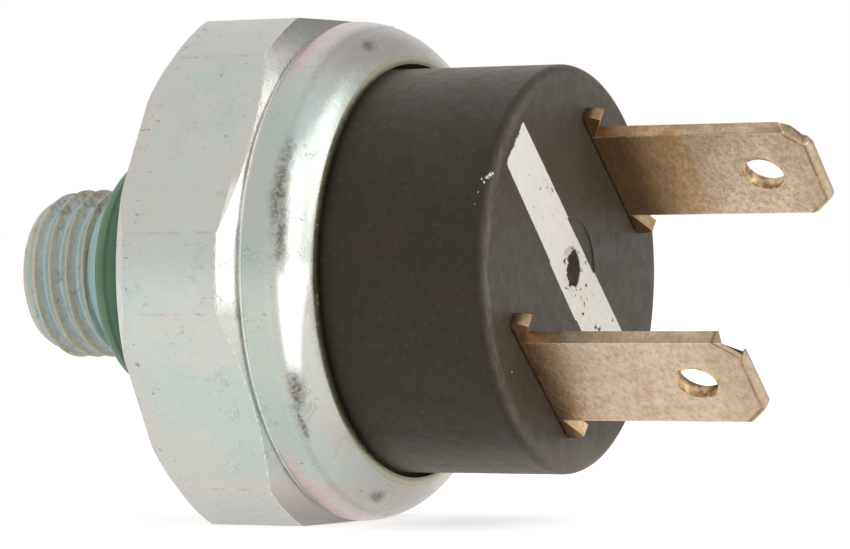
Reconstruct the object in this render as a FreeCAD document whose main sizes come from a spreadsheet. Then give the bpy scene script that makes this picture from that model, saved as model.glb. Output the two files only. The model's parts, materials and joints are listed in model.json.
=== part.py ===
import FreeCAD, Part
import math
import os
import Sketcher

# A low pressure cut-out switch: a hexagon-headed steel port body with a male thread, a snap disc and its
# contacts inside, and a black moulded base with two blade terminals crimped into the body's rolled collar.
# The axis is +X from the thread to the blades, the origin is on the axis in the hexagon's seat face, and
# two of the hexagon's flats face up and down. Lengths are in millimetres and angles in degrees.

# places nearer than this, in millimetres, are taken as one
CLOSE = 0.01

DRIVING_SIZES = {
    # port body: thread stub, hexagon and collar
    "flats_across": 27.0,
    "corners_across": 29.13,
    "seat_radius": 13.8,
    "seat_chamfer": 0.84,
    "flats_end": 6.42,
    "collar_start": 7.1,
    "groove_width": 0.18,
    "groove_radius": 13.22,
    "collar_radius": 13.48,
    "roll_start": 7.42,
    "roll_radius": 3.4,
    "lip_radius": 11.53,
    "lip_bore": 11.1,
    "lip_rise": 0.1,
    "skirt_wall": 1.15,
    "stub_length": 11.9,
    "stub_tip_radius": 4.0,
    "stub_chamfer": 1.2,
    "thread_radius": 4.67,
    "thread_end": 7.6,
    "neck_radius": 4.4,
    "neck_slope": 0.08,
    "shoulder_radius": 6.6,
    "shoulder_length": 4.03,
    "shoulder_chamfer": 0.25,
    "port_radius": 1.5,
    "port_chamfer": 0.4,
    "cavity_floor": 3.0,
    "gland_depth": 1.2,
    "gland_inner": 6.4,
    "gland_outer": 8.0,
    # seals and pressure stack
    "port_ring_section": 2.15,
    "ply": 0.125,
    "stack_radius": 12.2,
    "stack_bore": 5.6,
    "support_thickness": 1.225,
    "pad_radius": 5.5,
    "pad_plate": 0.925,
    "pad_boss_radius": 1.4,
    "pad_chamfer": 0.2,
    "pad_boss_chamfer": 0.15,
    "disc_radius": 7.1,
    "disc_thickness": 0.25,
    "disc_bulge": 0.5,
    "seat_height": 1.8,
    "seat_step": 0.9,
    "seat_rim": 7.25,
    "seat_bore": 6.0,
    "gasket_thickness": 0.5,
    "gasket_bore": 10.1,
    "guide_radius": 9.8,
    "guide_thickness": 1.2,
    "guide_boss_radius": 2.4,
    "guide_boss": 1.8,
    "guide_fillet": 0.5,
    "guide_chamfer": 0.3,
    "pin_radius": 0.9,
    "pin_clearance": 0.05,
    "pin_dome": 0.25,
    # moulded base
    "clocking": 48.4,
    "base_radius": 10.84,
    "face_at": 19.79,
    "edge_radius": 0.42,
    "ceiling_at": 16.2,
    "chamber_radius": 9.1,
    "recess_radius": 9.9,
    "step_radius": 2.75,
    "step_depth": 0.08,
    "dimple_radius": 1.15,
    "dimple_depth": 0.55,
    "dimple_draft": 0.15,
    "slot_length": 8.5,
    "slot_width": 0.95,
    # blade terminals
    "fixed_out": 7.3,
    "arm_out": -6.75,
    "fixed_side": 0.32,
    "arm_side": 0.73,
    "strip": 0.8,
    "bend": 0.35,
    "blade_width": 6.27,
    "blade_tip": 31.95,
    "tip_chamfer": 1.1,
    "coin": 0.2,
    "hole_at": 28.75,
    "hole_radius": 1.15,
    "root_width": 8.4,
    "stop_width": 8.9,
    "stop_height": 1.6,
    "stake_width": 9.2,
    "ear_height": 1.0,
    "ear_slope": 0.45,
    "ear_draft": 0.17,
    "ear_notch": 0.25,
    "leg_width": 5.2,
    # contacts
    "arm_at": 11.0,
    "arm_thickness": 0.2,
    "arm_root": -6.3,
    "arm_straight_end": 4.6,
    "arm_end_radius": 1.42,
    "arm_root_width": 3.4,
    "arm_tip_width": 2.8,
    "arm_hinge": -3.7,
    "rivet_out": -5.0,
    "rivet_shank": 0.7,
    "rivet_head_radius": 1.3,
    "rivet_head": 0.45,
    "rivet_chamfer": 0.3,
    "rivet_edge": 0.15,
    "rivet_tail_radius": 0.95,
    "contact_out": 4.4,
    "button_radius": 1.3,
    "button_height": 0.6,
    "button_dome": 0.15,
    "button_shank": 0.65,
    "button_tail_radius": 1.05,
    "button_tail": 0.28,
    "contact_gap": 0.68,
    "foot_end": 2.9,
}


class Size:
    """A length together with the expression that works it out from the sheet's cells."""

    def __init__(self, number, text):
        self.number = number
        self.text = text

    def __add__(self, other):
        other = as_size(other)
        return Size(self.number + other.number, f"({self.text} + {other.text})")

    def __sub__(self, other):
        other = as_size(other)
        return Size(self.number - other.number, f"({self.text} - {other.text})")

    def __mul__(self, other):
        other = as_size(other)
        return Size(self.number * other.number, f"({self.text} * {other.text})")

    def __truediv__(self, other):
        other = as_size(other)
        return Size(self.number / other.number, f"({self.text} / {other.text})")

    def __neg__(self):
        return Size(-self.number, f"(-1 * {self.text})")


def as_size(value):
    return value if isinstance(value, Size) else Size(float(value), repr(float(value)))


def root_of(size):
    return Size(math.sqrt(size.number), f"sqrt({size.text})")


def cosine(angle):
    return Size(math.cos(math.radians(angle.number)), f"cos({angle.text})")


def sine(angle):
    return Size(math.sin(math.radians(angle.number)), f"sin({angle.text})")


class Sizes:
    """The driving dimensions, as attributes with the names of their cells."""

    def __init__(self, numbers):
        for alias, number in numbers.items():
            setattr(self, alias, Size(number, f"Sizes.{alias}"))


def make_sheet(document):
    sheet = document.addObject("Spreadsheet::Sheet", "Sizes")
    for row, (alias, number) in enumerate(DRIVING_SIZES.items(), start=1):
        sheet.set(f"A{row}", alias)
        sheet.set(f"B{row}", str(number))
        sheet.setAlias(f"B{row}", alias)
    document.recompute()


def bind(thing, path, size):
    thing.setExpression(path, as_size(size).text)


# Bodies, planes and sketches


def new_body(document, name):
    body = document.addObject("PartDesign::Body", name)
    body.Label = name
    return body


def plane_of(body, role):
    return next(item for item in body.Origin.OriginFeatures if item.Role == role)


def new_sketch(body, name, role="XY_Plane", lift=None):
    sketch = body.newObject("Sketcher::SketchObject", name)
    sketch.AttachmentSupport = [(plane_of(body, role), "")]
    sketch.MapMode = "FlatFace"
    if lift is not None:
        bind(sketch, ".AttachmentOffset.Base.z", lift)
    return sketch


def hold(sketch, kind, geometry, end, size):
    """Holds one end of an edge at a coordinate measured from the sketch's origin."""
    constraint = sketch.addConstraint(Sketcher.Constraint(kind, -1, 1, geometry, end, size.number))
    bind(sketch, f"Constraints[{constraint}]", size)


def arc_between(start, finish, radius):
    """The short arc between two points; a positive radius turns anticlockwise from start to finish."""
    first, last = (start, finish) if radius > 0 else (finish, start)
    chord = last - first
    left = FreeCAD.Vector(-chord.y, chord.x, 0).normalize()
    centre = (first + last) / 2 + left * math.sqrt(max(radius ** 2 - chord.Length ** 2 / 4, 0.0))
    angles = [math.atan2(point.y - centre.y, point.x - centre.x) for point in (first, last)]
    round_shape = Part.Circle(centre, FreeCAD.Vector(0, 0, 1), abs(radius))
    return Part.ArcOfCircle(round_shape, angles[0], angles[1])


def outline(sketch, corners):
    """Closes a loop through the corners. A corner is (x, y), or (x, y, radius) where an arc leads to it."""
    corners = [tuple(as_size(value) for value in corner) for corner in corners]
    points = [FreeCAD.Vector(corner[0].number, corner[1].number, 0) for corner in corners]
    ends = []
    for index, corner in enumerate(corners):
        start, finish = points[index - 1], points[index]
        forwards = len(corner) == 2 or corner[2].number > 0
        if len(corner) == 3:
            edge = arc_between(start, finish, corner[2].number)
        else:
            edge = Part.LineSegment(start, finish)
        number = sketch.addGeometry(edge, False)
        ends.append((number, 1 if forwards else 2, 2 if forwards else 1))
        if len(corner) == 3:
            radius = corner[2] if corner[2].number > 0 else -corner[2]
            constraint = sketch.addConstraint(Sketcher.Constraint("Radius", number, radius.number))
            bind(sketch, f"Constraints[{constraint}]", radius)
    for index, corner in enumerate(corners):
        number, _, finish_end = ends[index]
        following, start_end, _ = ends[(index + 1) % len(ends)]
        sketch.addConstraint(Sketcher.Constraint("Coincident", number, finish_end, following, start_end))
        hold(sketch, "DistanceX", number, finish_end, corner[0])
        hold(sketch, "DistanceY", number, finish_end, corner[1])


def circle(sketch, x, y, radius):
    shape = Part.Circle(FreeCAD.Vector(x.number, y.number, 0), FreeCAD.Vector(0, 0, 1), radius.number)
    number = sketch.addGeometry(shape, False)
    constraint = sketch.addConstraint(Sketcher.Constraint("Radius", number, radius.number))
    bind(sketch, f"Constraints[{constraint}]", radius)
    hold(sketch, "DistanceX", number, 3, x)
    hold(sketch, "DistanceY", number, 3, y)


def rectangle(sketch, x_low, x_high, y_low, y_high):
    outline(sketch, [(x_low, y_low), (x_high, y_low), (x_high, y_high), (x_low, y_high)])


# Solid features


def turned(document, name, corners):
    """A body turned about X from a profile of (distance along X, radius) corners."""
    body = new_body(document, name)
    sketch = new_sketch(body, f"{name}_profile")
    outline(sketch, corners)
    feature = body.newObject("PartDesign::Revolution", f"{name}_turned")
    feature.Profile = sketch
    feature.ReferenceAxis = (sketch, ["H_Axis"])
    feature.Angle = 360
    body.Tip = feature
    return body


def pad(body, name, sketch, length, midplane=False):
    feature = body.newObject("PartDesign::Pad", name)
    feature.Profile = sketch
    feature.Midplane = midplane
    bind(feature, "Length", length)
    body.Tip = feature
    return feature


def pocket_through(body, name, sketch, midplane=True, reverse=False):
    feature = body.newObject("PartDesign::Pocket", name)
    feature.Profile = sketch
    feature.Type = "ThroughAll"
    feature.Midplane = midplane
    feature.Reversed = reverse
    body.Tip = feature
    return feature


def ring(document, name, low, high, inner, outer):
    return turned(document, name, [(low, inner), (low, outer), (high, outer), (high, inner)])


def clock(body, size, out=None, side=None):
    """Turns a body with the base about X, and moves it out along the blades' facing direction."""
    axis = FreeCAD.Vector(1, 0, 0)
    body.Placement = FreeCAD.Placement(FreeCAD.Vector(), FreeCAD.Rotation(axis, size.clocking.number))
    bind(body, ".Placement.Rotation.Angle", size.clocking)
    out = as_size(0) if out is None else out
    side = as_size(0) if side is None else side
    bind(body, ".Placement.Base.y", out * cosine(size.clocking) + side * sine(size.clocking))
    bind(body, ".Placement.Base.z", out * sine(size.clocking) - side * cosine(size.clocking))


# Places along the axis that several pieces share


class Levels:
    def __init__(self, size):
        self.plies_top = size.cavity_floor + size.ply * 3
        self.support_top = self.plies_top + size.support_thickness
        self.disc_seat_at = self.support_top + size.seat_step
        self.seat_top = self.support_top + size.seat_height
        self.flange_bottom = self.seat_top + size.gasket_thickness
        self.guide_top = self.seat_top + size.guide_thickness
        self.disc_back = self.disc_seat_at - size.disc_bulge
        self.disc_front = self.disc_back - size.disc_thickness
        self.arm_top = size.arm_at + size.arm_thickness
        self.fixed_face = self.arm_top + size.button_height + size.contact_gap
        self.fixed_foot = self.fixed_face + size.button_height
        self.roll_centre = size.collar_radius - size.roll_radius
        self.cavity_radius = size.collar_radius - size.skirt_wall
        self.inner_roll = size.roll_radius - size.skirt_wall


def along_roll(size, level, radius, at_radius):
    """Where an arc about the roll's centre crosses a distance from the axis."""
    rise = at_radius - level.roll_centre
    return size.roll_start + root_of(radius * radius - rise * rise)


# Port body and seals


def make_hex_body(document, size, level):
    corner = size.corners_across / 2
    lip_at = along_roll(size, level, size.roll_radius, size.lip_radius)
    share = level.inner_roll / size.roll_radius
    lip_inside = level.roll_centre + (size.lip_radius - level.roll_centre) * share
    lip_inside_at = size.roll_start + (lip_at - size.roll_start) * share
    body = turned(document, "hex_body", [
        (-size.stub_length, size.port_radius + size.port_chamfer),
        (-size.stub_length, size.stub_tip_radius),
        (size.stub_chamfer - size.stub_length, size.thread_radius),
        (-size.thread_end, size.thread_radius),
        (size.neck_slope - size.thread_end, size.neck_radius),
        (-size.shoulder_length, size.neck_radius),
        (-size.shoulder_length, size.shoulder_radius - size.shoulder_chamfer),
        (size.shoulder_chamfer - size.shoulder_length, size.shoulder_radius),
        (0, size.shoulder_radius),
        (0, size.seat_radius),
        (size.seat_chamfer, corner),
        (size.flats_end, corner),
        (size.collar_start, size.groove_radius),
        (size.collar_start + size.groove_width, size.groove_radius),
        (size.collar_start + size.groove_width, size.collar_radius),
        (size.roll_start, size.collar_radius),
        (lip_at, size.lip_radius, -size.roll_radius),
        (lip_at + size.lip_rise, size.lip_bore),
        (lip_inside_at, lip_inside),
        (size.roll_start, level.cavity_radius, level.inner_roll),
        (size.cavity_floor, level.cavity_radius),
        (size.cavity_floor, size.gland_outer),
        (size.cavity_floor - size.gland_depth, size.gland_outer),
        (size.cavity_floor - size.gland_depth, size.gland_inner),
        (size.cavity_floor, size.gland_inner),
        (size.cavity_floor, size.port_radius),
        (size.port_chamfer - size.stub_length, size.port_radius),
    ])
    sketch = new_sketch(body, "hex_flat_outline", "YZ_Plane")
    rectangle(sketch, -corner, corner, size.flats_across / 2, size.flats_across)
    flat = body.newObject("PartDesign::Pocket", "hex_flat")
    flat.Profile = sketch
    flat.Reversed = True
    bind(flat, "Length", size.collar_start)
    flats = body.newObject("PartDesign::PolarPattern", "hex_flats")
    flats.Originals = [flat]
    flats.Axis = (plane_of(body, "X_Axis"), [""])
    flats.Angle = 360
    flats.Occurrences = 6
    body.Tip = flats
    return body


def make_o_ring(document, name, centre_radius, section, at):
    torus = document.addObject("Part::Torus", name)
    torus.Label = name
    torus.Placement = FreeCAD.Placement(FreeCAD.Vector(), FreeCAD.Rotation(FreeCAD.Vector(0, 1, 0), 90))
    bind(torus, "Radius1", centre_radius)
    bind(torus, "Radius2", section / 2)
    bind(torus, ".Placement.Base.x", at)
    return torus


def make_seals(document, size):
    port_centre = size.neck_radius + size.port_ring_section / 2
    port_middle = -size.shoulder_length - size.port_ring_section / 2
    gland_centre = (size.gland_inner + size.gland_outer) / 2
    gland_middle = size.cavity_floor - size.gland_depth / 2
    return [
        make_o_ring(document, "port_o_ring", port_centre, size.port_ring_section, port_middle),
        make_o_ring(document, "cavity_seal", gland_centre, size.gland_depth, gland_middle),
    ]


# Pressure stack


def make_diaphragm_plies(document, size):
    plies = []
    for number, name in enumerate(("wet_diaphragm", "middle_diaphragm", "dry_diaphragm")):
        ply = document.addObject("Part::Cylinder", name)
        ply.Label = name
        ply.Placement = FreeCAD.Placement(FreeCAD.Vector(), FreeCAD.Rotation(FreeCAD.Vector(0, 1, 0), 90))
        bind(ply, "Radius", size.stack_radius)
        bind(ply, "Height", size.ply)
        bind(ply, ".Placement.Base.x", size.cavity_floor + size.ply * number)
        plies.append(ply)
    return plies


def make_pressure_pad(document, size, level):
    plate_top = level.plies_top + size.pad_plate
    return turned(document, "pressure_pad", [
        (level.plies_top, 0),
        (level.plies_top, size.pad_radius),
        (plate_top - size.pad_chamfer, size.pad_radius),
        (plate_top, size.pad_radius - size.pad_chamfer),
        (plate_top, size.pad_boss_radius),
        (level.disc_front - size.pad_boss_chamfer, size.pad_boss_radius),
        (level.disc_front, 0),
    ])


def make_snap_disc(document, size, level):
    """A shallow dome with its crown towards the pressure pad and its rim on the disc seat."""
    dome = (size.disc_radius * size.disc_radius + size.disc_bulge * size.disc_bulge) / (size.disc_bulge * 2)
    return turned(document, "snap_disc", [
        (level.disc_front, 0),
        (level.disc_front + size.disc_bulge, size.disc_radius, -dome),
        (level.disc_seat_at, size.disc_radius),
        (level.disc_back, 0, dome),
    ])


def make_disc_seat(document, size, level):
    return turned(document, "disc_seat", [
        (level.support_top, size.seat_rim),
        (level.support_top, size.stack_radius),
        (level.seat_top, size.stack_radius),
        (level.seat_top, size.seat_bore),
        (level.disc_seat_at, size.seat_bore),
        (level.disc_seat_at, size.seat_rim),
    ])


def make_pin_guide(document, size, level):
    bore = size.pin_radius + size.pin_clearance
    boss_top = level.guide_top + size.guide_boss
    return turned(document, "pin_guide", [
        (level.seat_top, bore),
        (level.seat_top, size.guide_radius),
        (level.guide_top, size.guide_radius),
        (level.guide_top, size.guide_boss_radius + size.guide_fillet),
        (level.guide_top + size.guide_fillet, size.guide_boss_radius),
        (boss_top - size.guide_chamfer, size.guide_boss_radius),
        (boss_top, size.guide_boss_radius - size.guide_chamfer),
        (boss_top, bore),
    ])


def make_push_pin(document, size, level):
    """A ceramic pin with domed ends, between the disc's crown and the contact arm."""
    dome = (size.pin_radius * size.pin_radius + size.pin_dome * size.pin_dome) / (size.pin_dome * 2)
    return turned(document, "push_pin", [
        (level.disc_back, 0),
        (level.disc_back + size.pin_dome, size.pin_radius, -dome),
        (size.arm_at - size.pin_dome, size.pin_radius),
        (size.arm_at, 0, -dome),
    ])


# Moulded base


def make_terminal_base(document, size, level):
    shoulder_at = along_roll(size, level, level.inner_roll, size.base_radius)
    face = size.face_at
    body = turned(document, "terminal_base", [
        (level.flange_bottom, size.recess_radius),
        (level.flange_bottom, level.cavity_radius),
        (size.roll_start, level.cavity_radius),
        (shoulder_at, size.base_radius, -level.inner_roll),
        (face - size.edge_radius, size.base_radius),
        (face, size.base_radius - size.edge_radius, -size.edge_radius),
        (face, size.step_radius),
        (face - size.step_depth, size.step_radius),
        (face - size.step_depth, size.dimple_radius),
        (face - size.dimple_depth, size.dimple_radius - size.dimple_draft),
        (face - size.dimple_depth, 0),
        (size.ceiling_at, 0),
        (size.ceiling_at, size.chamber_radius),
        (level.guide_top, size.chamber_radius),
        (level.guide_top, size.recess_radius),
    ])
    sketch = new_sketch(body, "blade_slots", "YZ_Plane")
    for out, side in ((size.fixed_out, size.fixed_side), (size.arm_out, size.arm_side)):
        rectangle(
            sketch,
            out - size.slot_width / 2,
            out + size.slot_width / 2,
            -side - size.slot_length / 2,
            size.slot_length / 2 - side,
        )
    pocket_through(body, "blade_slots_cut", sketch, midplane=True)
    clock(body, size)
    return body


# Blade terminals and contacts


def strip_side(size, out, foot_at, foot_end):
    """The bent strip seen edge-on: blade, bend and a foot that points to the axis."""
    inward = -1 if out.number > 0 else 1
    half = size.strip / 2
    back = out - half * inward
    front = out + half * inward
    outer_bend = size.bend + size.strip
    turn = outer_bend if inward < 0 else -outer_bend
    inner_turn = -size.bend if inward < 0 else size.bend
    corners = [
        (size.blade_tip, front),
        (size.blade_tip, back),
        (foot_at + outer_bend, back),
        (foot_at, back + outer_bend * inward, turn),
        (foot_at, foot_end),
        (foot_at + size.strip, foot_end),
        (foot_at + size.strip, front + size.bend * inward),
        (foot_at + outer_bend, front, inner_turn),
    ]
    return corners


def side_cut(size, foot_at):
    """What is cut from one side of the strip: leg, stop, slot part, ear, blade and tip corner."""
    blade = size.blade_width / 2
    waste = size.stake_width
    stop = size.stop_width / 2
    stake = size.stake_width / 2
    ear_top = size.face_at + size.ear_height
    return [
        (foot_at - size.strip, size.leg_width / 2),
        (size.ceiling_at - size.stop_height, size.leg_width / 2),
        (size.ceiling_at - size.stop_height, stop),
        (size.ceiling_at, stop),
        (size.ceiling_at, size.root_width / 2),
        (size.face_at, size.root_width / 2),
        (size.face_at, stake),
        (ear_top - size.ear_slope, stake),
        (ear_top, stake - size.ear_draft),
        (size.face_at + size.ear_notch, blade),
        (size.blade_tip - size.tip_chamfer, blade),
        (size.blade_tip, blade - size.tip_chamfer),
        (size.blade_tip + size.strip, blade - size.tip_chamfer),
        (size.blade_tip + size.strip, waste),
        (foot_at - size.strip, waste),
    ]


def tip_edges(shape, size, out):
    """The long edges round the blade's end, on both of its flat faces."""
    names = []
    start = size.blade_tip.number - size.tip_chamfer.number - CLOSE
    faces = (out.number - size.strip.number / 2, out.number + size.strip.number / 2)
    for index, edge in enumerate(shape.Edges, start=1):
        box = edge.BoundBox
        on_face = any(abs(box.YMin - level) < CLOSE and abs(box.YMax - level) < CLOSE for level in faces)
        if on_face and box.XMin > start:
            names.append(f"Edge{index}")
    return names


def make_terminal(document, name, size, out, side, foot_at, foot_end, rivet_out, rivet_radius):
    body = new_body(document, name)
    bent = new_sketch(body, f"{name}_bent")
    outline(bent, strip_side(size, out, foot_at, foot_end))
    pad(body, f"{name}_strip", bent, size.stake_width, midplane=True)
    cut = new_sketch(body, f"{name}_cut", "XZ_Plane")
    outline(cut, side_cut(size, foot_at))
    trimmed = pocket_through(body, f"{name}_trimmed", cut)
    both = body.newObject("PartDesign::Mirrored", f"{name}_both_sides")
    both.Originals = [trimmed]
    both.MirrorPlane = (plane_of(body, "XY_Plane"), [""])
    body.Tip = both
    hole = new_sketch(body, f"{name}_hole", "XZ_Plane")
    circle(hole, size.hole_at, as_size(0), size.hole_radius)
    pocket_through(body, f"{name}_hole_cut", hole)
    rivet_hole = new_sketch(body, f"{name}_rivet_hole", "YZ_Plane")
    circle(rivet_hole, rivet_out, side, rivet_radius)
    last = pocket_through(body, f"{name}_rivet_hole_cut", rivet_hole)
    document.recompute()
    coined = body.newObject("PartDesign::Chamfer", f"{name}_coined")
    coined.Base = (last, tip_edges(last.Shape, size, out))
    bind(coined, "Size", size.coin)
    body.Tip = coined
    clock(body, size, side=side)
    return body


def button_profile(size, level_in, face, tail_end, shank, height):
    """A contact button: domed face, head, shank through its carrier and an upset tail."""
    inward = 1 if tail_end.number > face.number else -1
    return [
        (face, 0),
        (face + size.button_dome * inward, size.button_radius),
        (face + height * inward, size.button_radius),
        (face + height * inward, shank),
        (level_in, shank),
        (level_in, size.button_tail_radius),
        (tail_end - size.button_dome * inward, size.button_tail_radius),
        (tail_end, size.button_tail_radius - size.button_dome),
        (tail_end, 0),
    ]


def make_contacts(document, size, level):
    face = level.arm_top + size.button_height
    moving = turned(document, "moving_contact", button_profile(
        size, size.arm_at, face, size.arm_at - size.button_tail, size.button_shank, size.button_height))
    foot_top = level.fixed_foot + size.strip
    fixed = turned(document, "fixed_contact", button_profile(
        size, foot_top, level.fixed_face, foot_top + size.button_tail, size.button_shank, size.button_height))
    foot_top = level.arm_top + size.strip
    rivet = turned(document, "arm_rivet", [
        (size.arm_at - size.rivet_head, 0),
        (size.arm_at - size.rivet_head, size.rivet_head_radius - size.rivet_chamfer),
        (size.arm_at - size.rivet_edge, size.rivet_head_radius),
        (size.arm_at, size.rivet_head_radius),
        (size.arm_at, size.rivet_shank),
        (foot_top, size.rivet_shank),
        (foot_top, size.rivet_tail_radius),
        (foot_top + size.rivet_head, size.rivet_tail_radius - size.rivet_edge),
        (foot_top + size.rivet_head, 0),
    ])
    clock(moving, size, out=size.contact_out)
    clock(fixed, size, out=size.contact_out)
    clock(rivet, size, out=size.rivet_out)
    return [moving, fixed, rivet]


def make_contact_arm(document, size):
    """A thin spring strip with a tapered outline and a round end."""
    body = new_body(document, "contact_arm")
    sketch = new_sketch(body, "contact_arm_outline", "YZ_Plane", lift=size.arm_at)
    root = size.arm_root_width / 2
    tip = size.arm_tip_width / 2
    outline(sketch, [
        (size.arm_root, root),
        (size.arm_root, -root),
        (size.arm_hinge, -root),
        (size.arm_straight_end, -tip),
        (size.arm_straight_end, tip, size.arm_end_radius),
        (size.arm_hinge, root),
    ])
    circle(sketch, size.rivet_out, as_size(0), size.rivet_shank)
    circle(sketch, size.contact_out, as_size(0), size.button_shank)
    pad(body, "contact_arm_strip", sketch, size.arm_thickness)
    clock(body, size)
    return body


def make_parts(document):
    size = Sizes(DRIVING_SIZES)
    level = Levels(size)
    parts = [make_hex_body(document, size, level)]
    parts += make_seals(document, size)
    parts += make_diaphragm_plies(document, size)
    parts += [
        ring(document, "support_ring", level.plies_top, level.support_top, size.stack_bore, size.stack_radius),
        make_pressure_pad(document, size, level),
        make_snap_disc(document, size, level),
        make_disc_seat(document, size, level),
        make_pin_guide(document, size, level),
        make_push_pin(document, size, level),
        ring(document, "base_gasket", level.seat_top, level.flange_bottom, size.gasket_bore, size.stack_radius),
        make_terminal_base(document, size, level),
    ]
    parts += [
        make_terminal(document, "arm_terminal", size, size.arm_out, size.arm_side, level.arm_top,
                      size.arm_hinge, size.rivet_out, size.rivet_shank),
        make_terminal(document, "fixed_terminal", size, size.fixed_out, size.fixed_side, level.fixed_foot,
                      size.foot_end, size.contact_out, size.button_shank),
    ]
    parts += make_contacts(document, size, level)
    parts.append(make_contact_arm(document, size))
    return parts


def check(document, parts):
    faults = [item.Name for item in document.Objects if {"Invalid", "Error"} & set(item.State)]
    for part in parts:
        if part.Shape.isNull() or not part.Shape.isValid() or len(part.Shape.Solids) != 1:
            faults.append(part.Label)
    if faults:
        raise RuntimeError(f"These pieces did not build: {faults}")


def main():
    document = FreeCAD.newDocument("low_pressure_switch")
    make_sheet(document)
    parts = make_parts(document)
    document.recompute()
    check(document, parts)
    os.makedirs("parts", exist_ok=True)
    for part in parts:
        part.Shape.exportStep(f"parts/{part.Label}.step")
        print(f"{part.Label}: {part.Shape.Volume:.2f} cubic millimetres")


main()
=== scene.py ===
import json
import math

import bmesh
import bpy
from mathutils import Matrix, Vector


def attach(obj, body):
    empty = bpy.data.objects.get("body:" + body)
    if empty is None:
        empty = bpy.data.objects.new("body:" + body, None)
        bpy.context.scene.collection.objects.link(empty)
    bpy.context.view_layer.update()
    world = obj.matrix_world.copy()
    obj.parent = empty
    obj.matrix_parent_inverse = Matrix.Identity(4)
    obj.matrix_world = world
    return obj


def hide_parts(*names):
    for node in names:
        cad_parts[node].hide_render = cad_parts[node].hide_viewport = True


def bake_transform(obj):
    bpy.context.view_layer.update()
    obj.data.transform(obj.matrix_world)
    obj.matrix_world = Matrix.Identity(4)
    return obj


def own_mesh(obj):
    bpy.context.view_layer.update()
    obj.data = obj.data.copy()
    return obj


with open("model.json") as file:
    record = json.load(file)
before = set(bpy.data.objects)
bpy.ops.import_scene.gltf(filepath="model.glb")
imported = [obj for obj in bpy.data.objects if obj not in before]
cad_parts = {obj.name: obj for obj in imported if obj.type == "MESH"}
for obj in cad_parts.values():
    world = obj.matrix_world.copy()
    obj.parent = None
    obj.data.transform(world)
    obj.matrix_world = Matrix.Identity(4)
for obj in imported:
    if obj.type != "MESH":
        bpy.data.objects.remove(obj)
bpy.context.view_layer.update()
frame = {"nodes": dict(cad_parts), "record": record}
print("frame loaded")

# Pieces are drawn in millimetres, +X along the axis from the thread to the blades, and scaled at the end.
# A clocked piece is drawn with +Y out along the blades' facing direction, then turned with the moulded base.

mm = 0.001
clocking = math.radians(48.4)
faceAt = 19.79      # the moulded face that the blades come out of
weld = 1e-4         # points closer than this are one, in millimetres
weldMetres = 1e-6   # and in a CAD node's own mesh
sharpFrom = math.radians(32)


# Drawing helpers

def drawLine(bm, points):
    # a point is (x, radius), with a third number where its corner is rounded
    verts = [bm.verts.new((point[0], 0, point[1])) for point in points]
    for pair in zip(verts, verts[1:]):
        bm.edges.new(pair)
    for vert, point in zip(verts, points):
        if len(point) == 3:
            roundCorner(bm, vert, point[2])


def arcPoints(x, r, radius, start, stop, count):
    turns = [math.radians(start + (stop - start) * i / count) for i in range(count + 1)]
    return [(x + radius * math.cos(a), r + radius * math.sin(a)) for a in turns]


def roundCorner(bm, vert, radius):
    bmesh.ops.bevel(bm, geom=[vert], offset=radius, segments=3, profile=0.5, affect="VERTICES", material=-1)


def spinRound(bm, steps):
    bmesh.ops.spin(bm, geom=bm.verts[:] + bm.edges[:], cent=(0, 0, 0), axis=(1, 0, 0), angle=math.tau,
                   steps=steps, use_merge=True)
    bmesh.ops.remove_doubles(bm, verts=bm.verts, dist=weld)


def everything(bm):
    return bm.verts[:] + bm.edges[:] + bm.faces[:]


def only(kind, items):
    return [item for item in items if isinstance(item, kind)]


def inOrder(items):
    # each item once; a set would give them in another order on each run
    return list(dict.fromkeys(items))


def cutPlane(bm, place, normal, geom=None, clear=False):
    cut = bmesh.ops.bisect_plane(bm, geom=geom or everything(bm), plane_co=place, plane_no=normal,
                                 clear_outer=clear)
    return only(bmesh.types.BMEdge, cut["geom_cut"])


def copySolid(node):
    # the node's own solid in the clocked drawing frame, with its facets joined
    bm = bmesh.new()
    bm.from_mesh(frame["nodes"][node].data)
    bmesh.ops.remove_doubles(bm, verts=bm.verts, dist=weldMetres)
    bm.transform(Matrix.Rotation(-clocking, 4, "X") @ Matrix.Scale(1 / mm, 4))
    return bm


def setRadius(vert, radius):
    scale = radius / math.hypot(vert.co.y, vert.co.z)
    vert.co.y *= scale
    vert.co.z *= scale


def finishPiece(bm, name, node, material, clocked=False, body="switch_body"):
    bmesh.ops.recalc_face_normals(bm, faces=bm.faces)
    for face in bm.faces:
        face.smooth = True
    for edge in bm.edges:
        edge.smooth = edge.calc_face_angle(0) < sharpFrom
    bm.transform(Matrix.Scale(mm, 4) @ Matrix.Rotation(clocking if clocked else 0, 4, "X"))
    mesh = bpy.data.meshes.new(name)
    bm.to_mesh(mesh)
    bm.free()
    mesh.materials.append(material)
    piece = bpy.data.objects.new(name, mesh)
    bpy.context.scene.collection.objects.link(piece)
    piece.modifiers.new("flatShading", "WEIGHTED_NORMAL").keep_sharp = True
    if body:
        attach(piece, body)
    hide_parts(node)
    print(name, len(mesh.polygons), "faces")
    return piece


# Material helpers

def tone(red, green, blue):
    parts = [c / 255 for c in (red, green, blue)]
    return (*[p / 12.92 if p <= 0.04045 else ((p + 0.055) / 1.055) ** 2.4 for p in parts], 1.0)


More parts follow.
